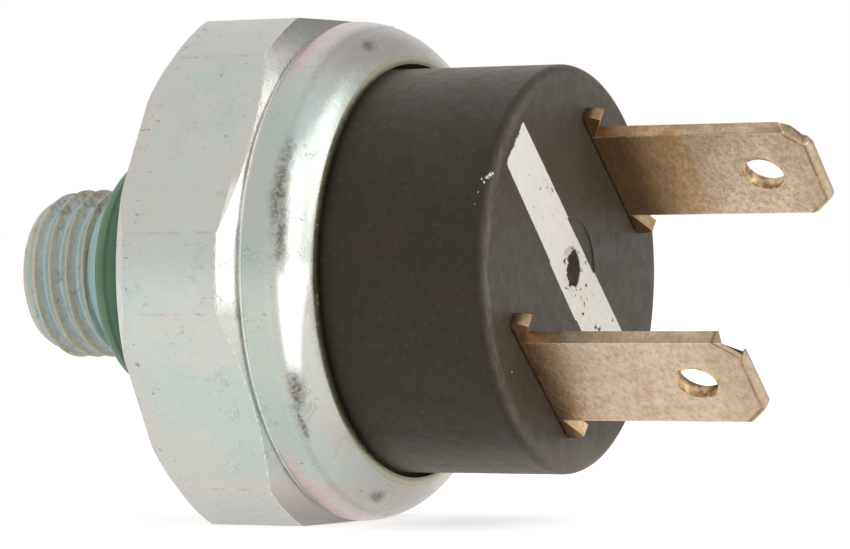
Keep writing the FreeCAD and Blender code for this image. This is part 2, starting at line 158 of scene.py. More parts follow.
class Finish:
    # at is the place in millimetres, with y out along the blades where the finish is clocked
    def __init__(self, name, clocked=False, **sockets):
        self.material = bpy.data.materials.new(name)
        self.material.use_nodes = True
        self.tree = self.material.node_tree
        self.bsdf = self.tree.nodes["Principled BSDF"]
        for socket, value in sockets.items():
            self.bsdf.inputs[socket.replace("_", " ")].default_value = value
        place = self.add("ShaderNodeTexCoord").outputs["Object"]
        self.at = self.moved(place, scale=(1 / mm,) * 3, turn=-clocking if clocked else 0)
        self.x, self.y, self.z = self.add("ShaderNodeSeparateXYZ", Vector=self.at).outputs

    def add(self, kind, settings=None, **inputs):
        node = self.tree.nodes.new(kind)
        for key, value in (settings or {}).items():
            setattr(node, key, value)
        for key, value in inputs.items():
            self.put(node.inputs[key], value)
        return node

    def put(self, socket, value):
        if isinstance(value, bpy.types.NodeSocket):
            self.tree.links.new(value, socket)
        else:
            socket.default_value = value

    def moved(self, vector, scale=(1, 1, 1), turn=0, shift=(0, 0, 0)):
        node = self.add("ShaderNodeMapping", Vector=vector, Scale=scale, Rotation=(turn, 0, 0),
                        Location=shift)
        return node.outputs[0]

    def math(self, operation, *values):
        node = self.add("ShaderNodeMath", {"operation": operation})
        for socket, value in zip(node.inputs, values):
            self.put(socket, value)
        return node.outputs[0]

    def times(self, first, second):
        return self.math("MULTIPLY", first, second)

    def plus(self, first, second):
        return self.math("ADD", first, second)

    def minus(self, first, second):
        return self.math("SUBTRACT", first, second)

    def over(self, first, second):
        return self.math("DIVIDE", first, second)

    def most(self, first, second):
        return self.math("MAXIMUM", first, second)

    def ramp(self, value, low, high, start=0.0, stop=1.0):
        node = self.add("ShaderNodeMapRange", {"interpolation_type": "SMOOTHSTEP"})
        for socket, item in zip(node.inputs, (value, low, high, start, stop)):
            self.put(socket, item)
        return node.outputs[0]

    def band(self, value, low, high, soft):
        up = self.ramp(value, low - soft, low + soft)
        return self.times(up, self.ramp(value, high - soft, high + soft, 1.0, 0.0))

    def noise(self, scale, detail=3.0, stretch=(1, 1, 1), shift=0.0, distortion=0.0, roughness=0.55, at=None):
        vector = self.moved(at or self.at, scale=stretch, shift=(shift,) * 3)
        node = self.add("ShaderNodeTexNoise", Vector=vector, Scale=scale, Detail=detail,
                        Distortion=distortion, Roughness=roughness)
        return node.outputs["Fac"]

    def mix(self, share, first, second):
        node = self.add("ShaderNodeMix", {"data_type": "RGBA"})
        for socket, value in zip((node.inputs[0], node.inputs[6], node.inputs[7]), (share, first, second)):
            self.put(socket, value)
        return node.outputs[2]

    def paint(self, share, colour, cover):
        return self.mix(share, colour, tone(*cover))

    def blend(self, share, first, second):
        node = self.add("ShaderNodeMix", {"data_type": "FLOAT"})
        for socket, value in zip(node.inputs[:1] + node.inputs[2:4], (share, first, second)):
            self.put(socket, value)
        return node.outputs[0]

    def bump(self, height, depth):
        node = self.add("ShaderNodeBump", Distance=depth * mm, Height=height)
        normal = self.bsdf.inputs["Normal"]
        if normal.is_linked:
            self.put(node.inputs["Normal"], normal.links[0].from_socket)
        self.put(normal, node.outputs["Normal"])

    def wear(self, **sockets):
        for socket, value in sockets.items():
            self.put(self.bsdf.inputs[socket.replace("_", " ")], value)


# Zinc-plated steel body: threaded stub, shoulder, hexagon and rolled collar

hexBody = {
    "flat": 13.5, "corner": 14.565, "seat": 13.8, "seatRound": 0.08, "seatChamfer": 0.84, "flatsEnd": 6.42,
    "collarStart": 7.1, "groove": 13.22, "grooveEnd": 7.28, "grooveRound": 0.14, "collar": 13.48,
    "collarRound": 0.07, "rollStart": 7.42, "roll": 3.4, "rollSteps": 24, "insideSteps": 12,
    "lip": 11.53, "lipRound": 0.06, "lipBore": 11.1, "lipBoreRound": 0.05, "lipRise": 0.1, "wall": 1.15,
    "shoulder": 6.6, "shoulderEnd": -4.03, "shoulderChamfer": 0.25, "neck": 4.4,
    "cavityFloor": 3.0, "glandFloor": 1.8, "glandInner": 6.4, "glandOuter": 8.0,
    "bore": 1.5, "boreChamfer": 0.4, "stubEnd": -11.9, "steps": 192,
}
# the thread is a sleeve of its own, bridged to the turned body at both of its ends
thread = {
    "pitch": 1.058, "crest": 4.67, "root": 4.12, "crestFlat": 0.12, "rootFlat": 0.3, "round": 0.06,
    "crestAt": -7.7, "crestReach": 0.1, "turnsBefore": 5, "turns": 8, "steps": 72, "flankCuts": 3,
    "runOut": -7.25, "runOutEnd": -7.13, "end": -7.05, "joint": 0.05, "jointNear": 0.2,
    "tip": 4.0, "tipJoint": 0.3, "chamferEnd": -10.7,
}


def bodyProfile():
    s = hexBody
    rollCentre = s["collar"] - s["roll"]
    inner = s["roll"] - s["wall"]
    lipAngle = math.degrees(math.asin((s["lip"] - rollCentre) / s["roll"]))
    lipAt = s["rollStart"] + s["roll"] * math.cos(math.radians(lipAngle))
    cavity = s["collar"] - s["wall"]
    return [
        (thread["end"] + thread["joint"], s["neck"]), (s["shoulderEnd"], s["neck"]),
        (s["shoulderEnd"], s["shoulder"] - s["shoulderChamfer"]),
        (s["shoulderEnd"] + s["shoulderChamfer"], s["shoulder"]), (0, s["shoulder"]),
        (0, s["seat"], s["seatRound"]), (s["seatChamfer"], s["corner"]), (s["flatsEnd"], s["corner"]),
        (s["collarStart"], s["groove"], s["grooveRound"]), (s["grooveEnd"], s["groove"]),
        (s["grooveEnd"], s["collar"], s["collarRound"]),
        *arcPoints(s["rollStart"], rollCentre, s["roll"], 90, lipAngle + 1, s["rollSteps"]),
        (lipAt, s["lip"], s["lipRound"]), (lipAt + s["lipRise"], s["lipBore"], s["lipBoreRound"]),
        *arcPoints(s["rollStart"], rollCentre, inner, lipAngle, 90, s["insideSteps"]),
        (s["cavityFloor"], cavity), (s["cavityFloor"], s["glandOuter"]), (s["glandFloor"], s["glandOuter"]),
        (s["glandFloor"], s["glandInner"]), (s["cavityFloor"], s["glandInner"]),
        (s["cavityFloor"], s["bore"]), (s["stubEnd"] + s["boreChamfer"], s["bore"]),
        (s["stubEnd"], s["bore"] + s["boreChamfer"]), (s["stubEnd"], thread["tip"] - thread["tipJoint"]),
    ]


def cutFlats(bm):
    for i in range(6):
        a = math.radians(30 + 60 * i)
        out = Vector((0, math.cos(a), math.sin(a)))
        edges = cutPlane(bm, out * hexBody["flat"], out, clear=True)
        bmesh.ops.contextual_create(bm, geom=edges)


def cutThread():
    s = thread
    flank = (s["pitch"] - s["crestFlat"] - s["rootFlat"]) / 2
    # a right-hand helix that starts at the top, a quarter turn from the near side where crestAt is
    firstCrest = s["crestAt"] - s["pitch"] / 4 - s["pitch"] * s["turnsBefore"]
    start = firstCrest - s["pitch"] / 2
    flats = (s["rootFlat"] / 2, s["pitch"] - s["rootFlat"] / 2)
    bm = bmesh.new()
    drawLine(bm, [
        (start, s["root"]), (start + flats[0], s["root"], s["round"]),
        (start + flats[0] + flank, s["crest"], s["round"]),
        (start + flats[1] - flank, s["crest"], s["round"]),
        (start + flats[1], s["root"], s["round"]), (start + s["pitch"], s["root"]),
    ])
    flanks = [edge for edge in bm.edges if edge.calc_length() > flank / 2]
    bmesh.ops.subdivide_edges(bm, edges=flanks, cuts=s["flankCuts"])
    bmesh.ops.spin(bm, geom=bm.verts[:] + bm.edges[:], cent=(0, 0, 0), axis=(1, 0, 0),
                   angle=math.tau * s["turns"], steps=s["steps"] * s["turns"],
                   dvec=(s["pitch"] / s["steps"], 0, 0))
    bmesh.ops.remove_doubles(bm, verts=bm.verts, dist=weld)
    cutPlane(bm, (hexBody["stubEnd"], 0, 0), (-1, 0, 0), clear=True)
    cutPlane(bm, (s["end"], 0, 0), (1, 0, 0), clear=True)
    rise = (s["crest"] - s["tip"]) / (s["chamferEnd"] - hexBody["stubEnd"])
    for vert in bm.verts:
        r = math.hypot(vert.co.y, vert.co.z)
        r = min(r, s["tip"] + (vert.co.x - hexBody["stubEnd"]) * rise)
        if vert.co.x > s["crestAt"] + s["crestReach"]:
            r = max(r, hexBody["neck"])
        if vert.co.x > s["runOut"]:
            left = max(0, (s["runOutEnd"] - vert.co.x) / (s["runOutEnd"] - s["runOut"]))
            r = min(r, hexBody["neck"] + (s["crest"] - hexBody["neck"]) * left)
        setRadius(vert, r)
    mesh = bpy.data.meshes.new("threadSleeve")
    bm.to_mesh(mesh)
    bm.free()
    return mesh


def makeHexBody(material):
    bm = bmesh.new()
    drawLine(bm, bodyProfile())
    spinRound(bm, hexBody["steps"])
    cutFlats(bm)
    sleeve = cutThread()
    bm.from_mesh(sleeve)
    bpy.data.meshes.remove(sleeve)
    for end in (hexBody["stubEnd"], thread["end"]):
        rims = [edge for edge in bm.edges if edge.is_boundary]
        loops = [edge for edge in rims if abs(edge.verts[0].co.x - end) < thread["jointNear"]]
        bmesh.ops.bridge_loops(bm, edges=loops)
    return finishPiece(bm, "hexBody", "hex_body", material)


# Green ring on the neck

portRing = {"at": -5.105, "centre": 5.475, "section": 1.075, "sectionSteps": 40, "flash": 0.03, "steps": 160}


def makePortRing(material):
    s = portRing
    bm = bmesh.new()
    drawn = bmesh.ops.create_circle(bm, segments=s["sectionSteps"], radius=s["section"])
    upright = Matrix.Translation((s["at"], 0, s["centre"])) @ Matrix.Rotation(math.pi / 2, 4, "X")
    bmesh.ops.transform(bm, matrix=upright, verts=drawn["verts"])
    max(bm.verts, key=lambda v: v.co.z).co.z += s["flash"]
    spinRound(bm, s["steps"])
    return finishPiece(bm, "portRing", "port_o_ring", material)


# Black moulded base

base = {
    "radius": 10.84, "edge": 0.42, "edgeSteps": 8, "edgeLand": 0.2, "bendSteps": 12,
    "stepRadius": 2.75, "stepDepth": 0.08, "stepSlope": 0.03, "dimple": 1.15, "dimpleDepth": 0.55,
    "dimpleRim": 0.1, "dimpleFloor": 0.8, "dimpleCorner": 0.2,
    "ceiling": 16.2, "chamber": 9.1, "recess": 9.9, "bottom": 6.9, "guideTop": 7.6,
    "slotLength": 8.5, "slotWidth": 0.95, "slotDepth": 1.6, "steps": 160,
}
blades = {
    "upperBlade": {"node": "fixed_terminal", "out": 7.3, "side": 0.32},
    "lowerBlade": {"node": "arm_terminal", "out": -6.75, "side": 0.73},
}


def baseProfile():
    s = base
    rollCentre = hexBody["collar"] - hexBody["roll"]
    inner = hexBody["roll"] - hexBody["wall"]
    shoulder = math.degrees(math.asin((s["radius"] - rollCentre) / inner))
    flange = rollCentre + inner
    stepAt = faceAt - s["stepDepth"]
    dimpleAt = faceAt - s["dimpleDepth"]
    outside = [
        (s["bottom"], s["recess"]), (s["bottom"], flange),
        *arcPoints(hexBody["rollStart"], rollCentre, inner, 90, shoulder, s["bendSteps"]),
        *arcPoints(faceAt - s["edge"], s["radius"] - s["edge"], s["edge"], 90, 0, s["edgeSteps"]),
        (faceAt, s["radius"] - s["edge"] - s["edgeLand"]),
        (faceAt, s["stepRadius"] + s["stepSlope"]), (stepAt, s["stepRadius"] - s["stepSlope"]),
        (stepAt, s["dimple"] + s["dimpleRim"]), (stepAt - s["dimpleRim"], s["dimple"]),
        (dimpleAt + s["dimpleCorner"], s["dimple"] - s["dimpleRim"]),
        (dimpleAt, s["dimpleFloor"]), (dimpleAt, 0),
    ]
    inside = [
        (s["ceiling"], 0), (s["ceiling"], s["chamber"]), (s["guideTop"], s["chamber"]),
        (s["guideTop"], s["recess"]), (s["bottom"], s["recess"]),
    ]
    return outside, inside


def cutSlot(bm, out, side):
    half = {"y": base["slotWidth"] / 2, "z": base["slotLength"] / 2}
    centre = Vector((faceAt, out, -side))
    for normal, reach in (((0, 1, 0), half["y"]), ((0, 0, 1), half["z"])):
        for sign in (-1, 1):
            flat = [face for face in bm.faces if all(abs(v.co.x - faceAt) < weld for v in face.verts)]
            rims = [item for face in flat for item in (*face.edges, *face.verts)]
            cutPlane(bm, centre + Vector(normal) * reach * sign, normal, geom=inOrder(flat + rims))
    inside = []
    for face in bm.faces:
        middle = face.calc_center_median() - centre
        if abs(middle.x) < weld and abs(middle.y) < half["y"] and abs(middle.z) < half["z"]:
            inside.append(face)
    sunk = bmesh.ops.extrude_face_region(bm, geom=inside)
    bmesh.ops.translate(bm, verts=only(bmesh.types.BMVert, sunk["geom"]), vec=(-base["slotDepth"], 0, 0))
    bmesh.ops.delete(bm, geom=inside, context="FACES")


def makeBase(material):
    bm = bmesh.new()
    for line in baseProfile():
        drawLine(bm, line)
    bmesh.ops.remove_doubles(bm, verts=bm.verts, dist=weld)
    spinRound(bm, base["steps"])
    for blade in blades.values():
        cutSlot(bm, blade["out"], blade["side"])
    return finishPiece(bm, "terminalBase", "terminal_base", material, clocked=True)


# Blade terminals

bladeShape = {
    "strip": 0.8, "half": 3.135, "root": 18.6, "rootHalf": 4.2, "tip": 31.95,
    "holeAt": 28.75, "hole": 1.09, "holeSteps": 48, "breakOut": 0.1,
    "coin": 0.26, "coinFrom": 30.9, "coinGap": 0.2, "edge": 0.05, "edgeAngle": 0.6, "flatness": 0.01,
    "flatAngle": 0.01,
    "ear": 4.6, "earFoot": 0.02, "earStart": 0.03, "earTop": 20.79, "earSlope": 0.45, "earDraft": 0.17,
    "earNotch": 20.04,
}
# the shear has torn the upper corner of each blade: x, side, and the far face's change in x and side
torn = {
    "upperBlade": [(31.95, -1.75, 0, 0), (31.88, -2.2, -0.1, 0.12), (31.7, -2.22, -0.28, 0.1),
                   (31.36, -2.7, -0.42, -0.14), (30.78, -3.135, -0.52, 0)],
    "lowerBlade": [(31.97, -1.6, -0.05, 0.1), (32.08, -2.42, -0.2, 0.5), (31.9, -2.22, -0.5, 0.8),
                   (31.5, -2.6, -0.9, 0.45), (31.04, -3.135, -0.29, 0)],
}
clean = {"upperBlade": 1.0, "lowerBlade": 1.15}     # the whole corner's cut


def bladeOutline(name):
    # corners from the root of one side round the tip to the other, each with four numbers as in torn
    s = bladeShape
    ear = [
        (s["root"], s["rootHalf"]), (faceAt + s["earFoot"], s["rootHalf"]),
        (faceAt + s["earStart"], s["ear"]),
        (s["earTop"] - s["earSlope"], s["ear"]), (s["earTop"], s["ear"] - s["earDraft"]),
        (s["earNotch"], s["half"]),
    ]
    whole = [(s["tip"] - clean[name], s["half"]), (s["tip"], s["half"] - clean[name])]
    plain = [(x, z, 0, 0) for x, z in ear + whole]
    return plain + torn[name] + [(x, -z, 0, 0) for x, z in reversed(ear)]


def makeBlade(name, material):
    s, blade = bladeShape, blades[name]
    front = blade["out"] - s["strip"] / 2
    bm = bmesh.new()
    far = bm.verts.layers.float_vector.new("far")
    outer = []
    for x, side, farX, farSide in bladeOutline(name):
        vert = bm.verts.new((x, front, -side))
        vert[far] = (farX, 0, -farSide)
        outer.append(vert)
    edges = [bm.edges.new((outer[i - 1], outer[i])) for i in range(len(outer))]
    circle = bmesh.ops.create_circle(bm, segments=s["holeSteps"], radius=s["hole"])["verts"]
    for vert in circle:
        vert[far] = Vector((vert.co.x, 0, vert.co.y)).normalized() * s["breakOut"]
    bmesh.ops.transform(bm, verts=circle, matrix=Matrix.Translation((s["holeAt"], front, 0))
                        @ Matrix.Rotation(math.pi / 2, 4, "X"))
    edges += inOrder(edge for vert in circle for edge in vert.link_edges)
    bmesh.ops.triangle_fill(bm, edges=edges, use_beauty=True)
    thick = only(bmesh.types.BMVert, bmesh.ops.extrude_face_region(bm, geom=bm.faces[:])["geom"])
    for vert in thick:
        bmesh.ops.translate(bm, verts=[vert], vec=Vector((0, s["strip"], 0)) + vert[far])
    bmesh.ops.recalc_face_normals(bm, faces=bm.faces)
    bmesh.ops.dissolve_limit(bm, angle_limit=s["flatAngle"], verts=bm.verts, edges=bm.edges)
    bevelEdges(bm, tipEdges(bm, name), s["coin"])
    outside = [edge for edge in sharpEdges(bm) if min(v.co.x for v in edge.verts) > faceAt]
    bevelEdges(bm, outside, s["edge"], clamp=True)
    bmesh.ops.translate(bm, verts=bm.verts, vec=(0, 0, -blade["side"]))
    addHiddenFoot(bm, blade["node"])
    return finishPiece(bm, name, blade["node"], material, clocked=True)


def sharpEdges(bm):
    return [edge for edge in bm.edges if edge.calc_face_angle(0) > bladeShape["edgeAngle"]]


def bevelEdges(bm, edges, offset, clamp=False):
    bmesh.ops.bevel(bm, geom=edges, offset=offset, segments=2, profile=0.5, affect="EDGES", material=-1,
                    clamp_overlap=clamp)


def tipEdges(bm, name):
    # the coined edges of both faces round the tip, up to where the corner is torn
    s = bladeShape
    sheared = max(point[0] for point in torn[name][-2:])
    edges = []
    for edge in sharpEdges(bm):
        onFace = abs(edge.verts[0].co.y - edge.verts[1].co.y) < s["flatness"]
        atTip = all(v.co.x > s["coinFrom"] for v in edge.verts)
        whole = all(v.co.z < 0 or v.co.x > sheared + s["coinGap"] for v in edge.verts)
        if onFace and atTip and whole:
            edges.append(edge)
    return edges


def addHiddenFoot(bm, node):
    # inside the base the blade is the node's own solid
    hidden = copySolid(node)
    cut = cutPlane(hidden, (bladeShape["root"], 0, 0), (1, 0, 0), clear=True)
    bmesh.ops.contextual_create(hidden, geom=cut)
    foot = bpy.data.meshes.new("hiddenFoot")
    hidden.to_mesh(foot)
    hidden.free()
    bm.from_mesh(foot)
    bpy.data.meshes.remove(foot)


# Finishes

plating = {
    "grey": (185, 189, 181), "pale": (197, 199, 192), "pink": (203, 188, 184), "blue": (176, 192, 188),
    "lipPale": (176, 171, 148), "lipDark": (116, 111, 92), "violet": (204, 168, 176),
    "bright": (222, 224, 219), "thread": (187, 193, 181), "threadBlue": (166, 193, 195),
    "crest": (201, 191, 168), "neck": (178, 206, 206), "flank": (202, 216, 216), "mauve": (200, 184, 202),
    "dirtAndShade": (94, 84, 66), "highlight": (250, 250, 247), "reflectionAndStain": (88, 79, 71), "scratch": (142, 128, 108),
    "edgeWear": (160, 142, 116), "shade": (112, 114, 112), "camera": (158, 172, 162),
    "speck": (104, 94, 76), "wearAndHighlight": (232, 228, 214),
}
# where the plating and its painted light and shade change: reaches along the axis, of the radius, of the
# height and of the turn in degrees
platingAt = {
    "nearSeat": (1.2, 0.3), "topAndBottom": (10.4, 11.6), "corners": (0.8, 6.4),
    "cornerRadius": (14.54, 14.56),
    "cameraReflection": (7.3, 8.75), "glareTurn": (60, 30), "violet": (7.35, 8.1), "violetHeight": (8.0, 11.5),
    "groove": (7.08, 7.27), "grooveRadius": (13.44, 13.36), "specks": (2.6, 0.9), "lip": (10.42, 10.5),
    "lipRadius": (11.62, 11.54), "lipDark": (11.45, 11.15), "stub": (-3.9, -4.0), "chamfer": (6.4, 7.1),
    "chamferTop": (11.0, 13.4), "chamferBottom": (-10.5, -13.2), "roll": (8.2, 9.2), "rollTop": (9.5, 12.5),
    "rollBottom": (-10, -12.5), "edgeLine": (14.5, 14.55), "edgeLength": (0.9, 6.35),
}
# the painted highlight on the roll runs from left to right, and right moves with the turn by narrowing
highlightAt = {
    "left": (9.08, 9.32), "right": (10.5, 10.25), "narrowing": 0.028, "rollTurn": (-24.5, 1.5),
    "chamfer": (6.45, 7.12), "chamferTurn": (-7, 20), "chamferShare": 0.6, "soft": 2.5, "share": 0.95,
}
# dark marks on the rolled collar, painted reflections of the camera and stains: place along the axis, turn
# above the near side, half length and half width
reflectionsAndStains = [
    (9.0, 20, 13, 0.4), (9.3, 9, 9, 0.3), (9.3, -28.5, 7, 0.42), (9.12, -37, 5, 0.15), (9.7, 72.5, 3, 0.3),
    (9.85, -74, 3, 0.3),
]
# a soft dark ring round the roll, a painted reflection of the camera's edge
cameraReflectionRing = {"at": 8.93, "reach": 0.32, "share": 0.2}


def zincFinish():
    f = Finish("zincPlate")
    s, at = plating, platingAt
    radius = fromAxis(f)
    turn = f.times(f.math("ARCTAN2", f.z, f.times(f.y, -1.0)), 180 / math.pi)
    scratches = f.times(hairlines(f, 0.55, 31), f.ramp(f.noise(0.5, 2, shift=40), 0.5, 0.6))
    colour = platedColour(f, radius)
    colour = collarColour(f, colour, radius, turn)
    colour = f.paint(wornEdges(f, radius), colour, s["edgeWear"])
    colour = f.paint(chamferEdge(f, radius), colour, s["wearAndHighlight"])
    colour = f.paint(f.times(scratches, 0.35), colour, s["scratch"])
    crowded = f.plus(f.noise(2.6, 4, shift=21), f.ramp(f.x, *at["specks"], 0, 0.06))
    colour = f.paint(f.ramp(crowded, 0.68, 0.77, 0, 0.6), colour, s["speck"])
    colour = f.paint(collarReflectionsAndStains(f, turn), colour, s["reflectionAndStain"])
    lip = f.mix(f.ramp(radius, *at["lipDark"]), tone(*s["lipPale"]), tone(*s["lipDark"]))
    colour = f.mix(f.times(f.ramp(f.x, *at["lip"]), f.ramp(radius, *at["lipRadius"])), colour, lip)
    stub = f.ramp(f.x, *at["stub"])
    colour = f.mix(stub, colour, stubColour(f, radius, turn))
    gloss = f.ramp(f.noise(1.8, 5, shift=2), 0.3, 0.7, 0.24, 0.34)
    f.wear(Base_Color=colour, Metallic=f.ramp(stub, 0, 1, 1.0, 0.5), Roughness=f.blend(stub, gloss, 0.5))
    arc = f.times(turn, math.pi / 180 * hexBody["flat"])
    rolled = f.add("ShaderNodeCombineXYZ", X=f.x, Y=radius, Z=arc).outputs[0]
    f.bump(f.noise(7, 5), 0.008)
    f.bump(f.noise(0.8, 4, shift=6), 0.014)
    f.bump(f.noise(2.6, 4, stretch=(1.5, 1.5, 0.15), at=rolled), 0.008)
    f.bump(f.times(f.noise(2.2, 6, shift=61, roughness=0.7), stub), 0.12)
    f.bump(scratches, 0.01)
    return f.material


def platedColour(f, radius):
    # patches of grey, pink and blue, pinker beside the seat and towards the top and the bottom
    s, at = plating, platingAt
    colour = f.mix(f.noise(0.5, 5), tone(*s["grey"]), tone(*s["pale"]))
    colour = f.paint(f.ramp(f.noise(0.16, 3, shift=4), 0.46, 0.66, 0, 0.4), colour, s["pink"])
    colour = f.paint(f.ramp(f.noise(0.2, 3, shift=9), 0.46, 0.62, 0, 0.6), colour, s["blue"])
    colour = f.paint(f.ramp(f.x, *at["nearSeat"], 0, 0.4), colour, s["pink"])
    ends = f.ramp(f.math("ABSOLUTE", f.z), *at["topAndBottom"])
    patchy = f.ramp(f.noise(0.3, 3, shift=70), 0.3, 0.6, 0.25, 0.7)
    colour = f.paint(f.times(ends, patchy), colour, s["pink"])
    cornerBand = f.times(f.ramp(radius, *at["cornerRadius"]), f.band(f.x, *at["corners"], 0.1))
    return f.paint(f.times(cornerBand, 0.3), colour, s["blue"])


def collarColour(f, colour, radius, turn):
    s, at = plating, platingAt
    colour = f.paint(shadedRims(f), colour, s["shade"])
    # a painted reflection of the camera: a greyer band left of the glare, on the near side of the roll
    nearSide = f.ramp(f.math("ABSOLUTE", turn), *at["glareTurn"])
    cameraReflection = f.times(f.band(f.x, *at["cameraReflection"], 0.25), nearSide)
    colour = f.paint(f.times(cameraReflection, 0.5), colour, s["camera"])
    # a painted highlight on the roll and on the chamfer beside it
    colour = f.paint(paintedHighlightBand(f, turn), colour, s["highlight"])
    ends = f.ramp(f.math("ABSOLUTE", f.z), *at["violetHeight"])
    colour = f.paint(f.times(f.times(f.band(f.x, *at["violet"], 0.2), ends), 0.55), colour, s["violet"])
    groove = f.times(f.band(f.x, *at["groove"], 0.04), f.ramp(radius, *at["grooveRadius"]))
    return f.paint(f.times(groove, 0.8), colour, s["bright"])


def shadedRims(f):
    # painted shade at the top and bottom of the chamfer and the roll
    at = platingAt
    chamfer = f.most(f.ramp(f.z, *at["chamferTop"], 0, 0.6), f.ramp(f.z, *at["chamferBottom"], 0, 0.5))
    chamfer = f.times(f.band(f.x, *at["chamfer"], 0.03), chamfer)
    roll = f.most(f.ramp(f.z, *at["rollTop"], 0, 0.3), f.ramp(f.z, *at["rollBottom"], 0, 0.12))
    return f.most(chamfer, f.times(f.ramp(f.x, *at["roll"]), roll))


def paintedHighlightBand(f, turn):
    # a painted highlight on the roll below its middle, in a band that narrows downwards, and on the chamfer
    # beside it
    s = highlightAt
    narrowing = f.minus(f.x, f.times(turn, s["narrowing"]))
    across = f.times(f.ramp(f.x, *s["left"]), f.ramp(narrowing, *s["right"]))
    roll = f.times(across, f.band(turn, *s["rollTurn"], s["soft"]))
    chamfer = f.times(f.band(f.x, *s["chamfer"], 0.02), f.band(turn, *s["chamferTurn"], s["soft"]))
    return f.times(f.most(roll, f.times(chamfer, s["chamferShare"])), s["share"])


def chamferEdge(f, radius):
    # bright crumbs on the flats where the chamfer meets them, wear with a painted highlight along the edge
    s = hexBody
    slope = (s["collarStart"] - s["flatsEnd"]) / (s["corner"] - s["groove"])
    cone = f.plus(f.times(f.minus(s["corner"], radius), slope), s["flatsEnd"])
    before = f.band(f.minus(cone, f.x), 0.03, 0.1, 0.02)
    return f.times(before, f.ramp(f.noise(3.2, 5, shift=91, roughness=0.7), 0.44, 0.6, 0, 0.8))


def wornEdges(f, radius):
    # faint rubbed lines along both edges of each corner band, broken where the plating held
    line = f.times(f.band(radius, *platingAt["edgeLine"], 0.015), f.band(f.x, *platingAt["edgeLength"], 0.1))
    broken = f.noise(2.4, 5, stretch=(0.6, 1, 1), shift=15, roughness=0.7)
    return f.times(line, f.ramp(broken, 0.44, 0.62, 0, 0.4))


def collarReflectionsAndStains(f, turn):
    # the dark marks are painted reflections of the camera and stains, and the ring is a painted reflection of
    # the camera's edge
    ragged = f.times(f.minus(f.noise(1.3, 5, shift=77), 0.5), 1.4)
    ring = f.math("ABSOLUTE", f.minus(f.x, cameraReflectionRing["at"]))
    total = f.ramp(ring, cameraReflectionRing["reach"], 0.0, 0, cameraReflectionRing["share"])
    for along, angle, length, width in reflectionsAndStains:
        far = f.over(f.minus(f.x, along), width)
        about = f.over(f.minus(turn, angle), length)
        reach = f.math("SQRT", f.plus(f.times(far, far), f.times(about, about)))
        total = f.most(total, f.ramp(f.plus(reach, ragged), 1.45, 0.1, 0, 0.88))
    return f.times(total, f.ramp(f.noise(5.5, 4, shift=83, roughness=0.65), 0.36, 0.62, 0.55, 1))


# where the stub's finish and its painted light and shade change: along the axis, of the radius, of the height
# and along each groove
stubAt = {
    "flank": (0.08, 0.42), "mauve": (0.5, 0.9), "crest": (4.3, 4.52), "end": (-11.1, -11.5),
    "top": (2.2, 4.2), "lastEdge": (-7.58, -7.52), "neck": (-7.54, -7.48),
}


def stubColour(f, radius, turn):
    s, at = plating, stubAt
    # 0 and 1 on a crest, rising towards the hexagon along each groove
    turned = f.over(f.minus(f.x, thread["crestAt"]), thread["pitch"])
    groove = f.math("FRACT", f.plus(turned, f.over(turn, 360)))
    colour = f.mix(f.noise(0.9, 4, shift=3), tone(*s["threadBlue"]), tone(*s["thread"]))
    # painted light: the flanks that face the hexagon are painted paler where it shades them
    paintedFlankLight = f.times(f.band(groove, *at["flank"], 0.04), f.ramp(f.noise(0.8, 3, shift=35), 0.3, 0.6, 0.75, 1))
    colour = f.paint(paintedFlankLight, colour, s["flank"])
    mauve = f.times(f.band(groove, *at["mauve"], 0.08), f.ramp(f.noise(0.5, 3, shift=29), 0.48, 0.62, 0, 0.7))
    colour = f.paint(mauve, colour, s["mauve"])
    rubbed = f.ramp(f.noise(2.2, 5, roughness=0.7), 0.3, 0.6, 0.35, 0.95)
    colour = f.paint(f.times(f.ramp(radius, *at["crest"]), rubbed), colour, s["crest"])
    wavy = f.plus(f.x, f.times(f.noise(2.2, 5, shift=25), 0.5))
    colour = f.paint(f.ramp(wavy, *at["end"], 0, 0.8), colour, s["crest"])
    dirtAndShade = f.plus(f.noise(1.7, 6, shift=52, roughness=0.72), f.ramp(f.z, *at["top"], 0, 0.12))
    colour = f.paint(f.ramp(dirtAndShade, 0.54, 0.74, 0, 0.58), colour, s["dirtAndShade"])
    # the last groove runs out on the neck, past a line of painted shade beside the last crest
    colour = f.paint(f.times(f.band(f.x, *at["lastEdge"], 0.03), 0.5), colour, s["dirtAndShade"])
    return f.paint(f.ramp(f.x, *at["neck"]), colour, s["neck"])


def fromAxis(f):
    return f.math("SQRT", f.plus(f.times(f.y, f.y), f.times(f.z, f.z)))


def hairlines(f, scale, shift):
    # thin crooked lines where a broad noise crosses its middle value
    away = f.math("ABSOLUTE", f.minus(f.noise(scale, 6, shift=shift, distortion=0.6, roughness=0.6), 0.5))
    return f.ramp(away, 0.004, 0.0008)


# the ring is painted lit and yellower on its thread side and in shade on its seat side, which faces the
# hexagon, and it is darker along its parting line
greens = {
    "litThreadSide": (96, 132, 94), "shadedSeatSide": (74, 120, 94), "patch": (78, 114, 82), "seam": (44, 78, 54),
}


def rubberFinish():
    f = Finish("greenRubber", Roughness=0.42, Specular_IOR_Level=0.5)
    s = greens
    # painted light and shade: lit towards the thread, shaded towards the hexagon
    side = f.ramp(f.x, portRing["at"] - 0.1, portRing["at"] + 0.3)
    green = f.mix(side, tone(*s["litThreadSide"]), tone(*s["shadedSeatSide"]))
    green = f.paint(f.noise(1.5, 4), green, s["patch"])
    seam = f.math("ABSOLUTE", f.minus(f.x, portRing["at"]))
    f.wear(Base_Color=f.paint(f.ramp(seam, 0.2, 0.02, 0, 0.75), green, s["seam"]))
    f.bump(f.noise(7, 4), 0.01)
    return f.material


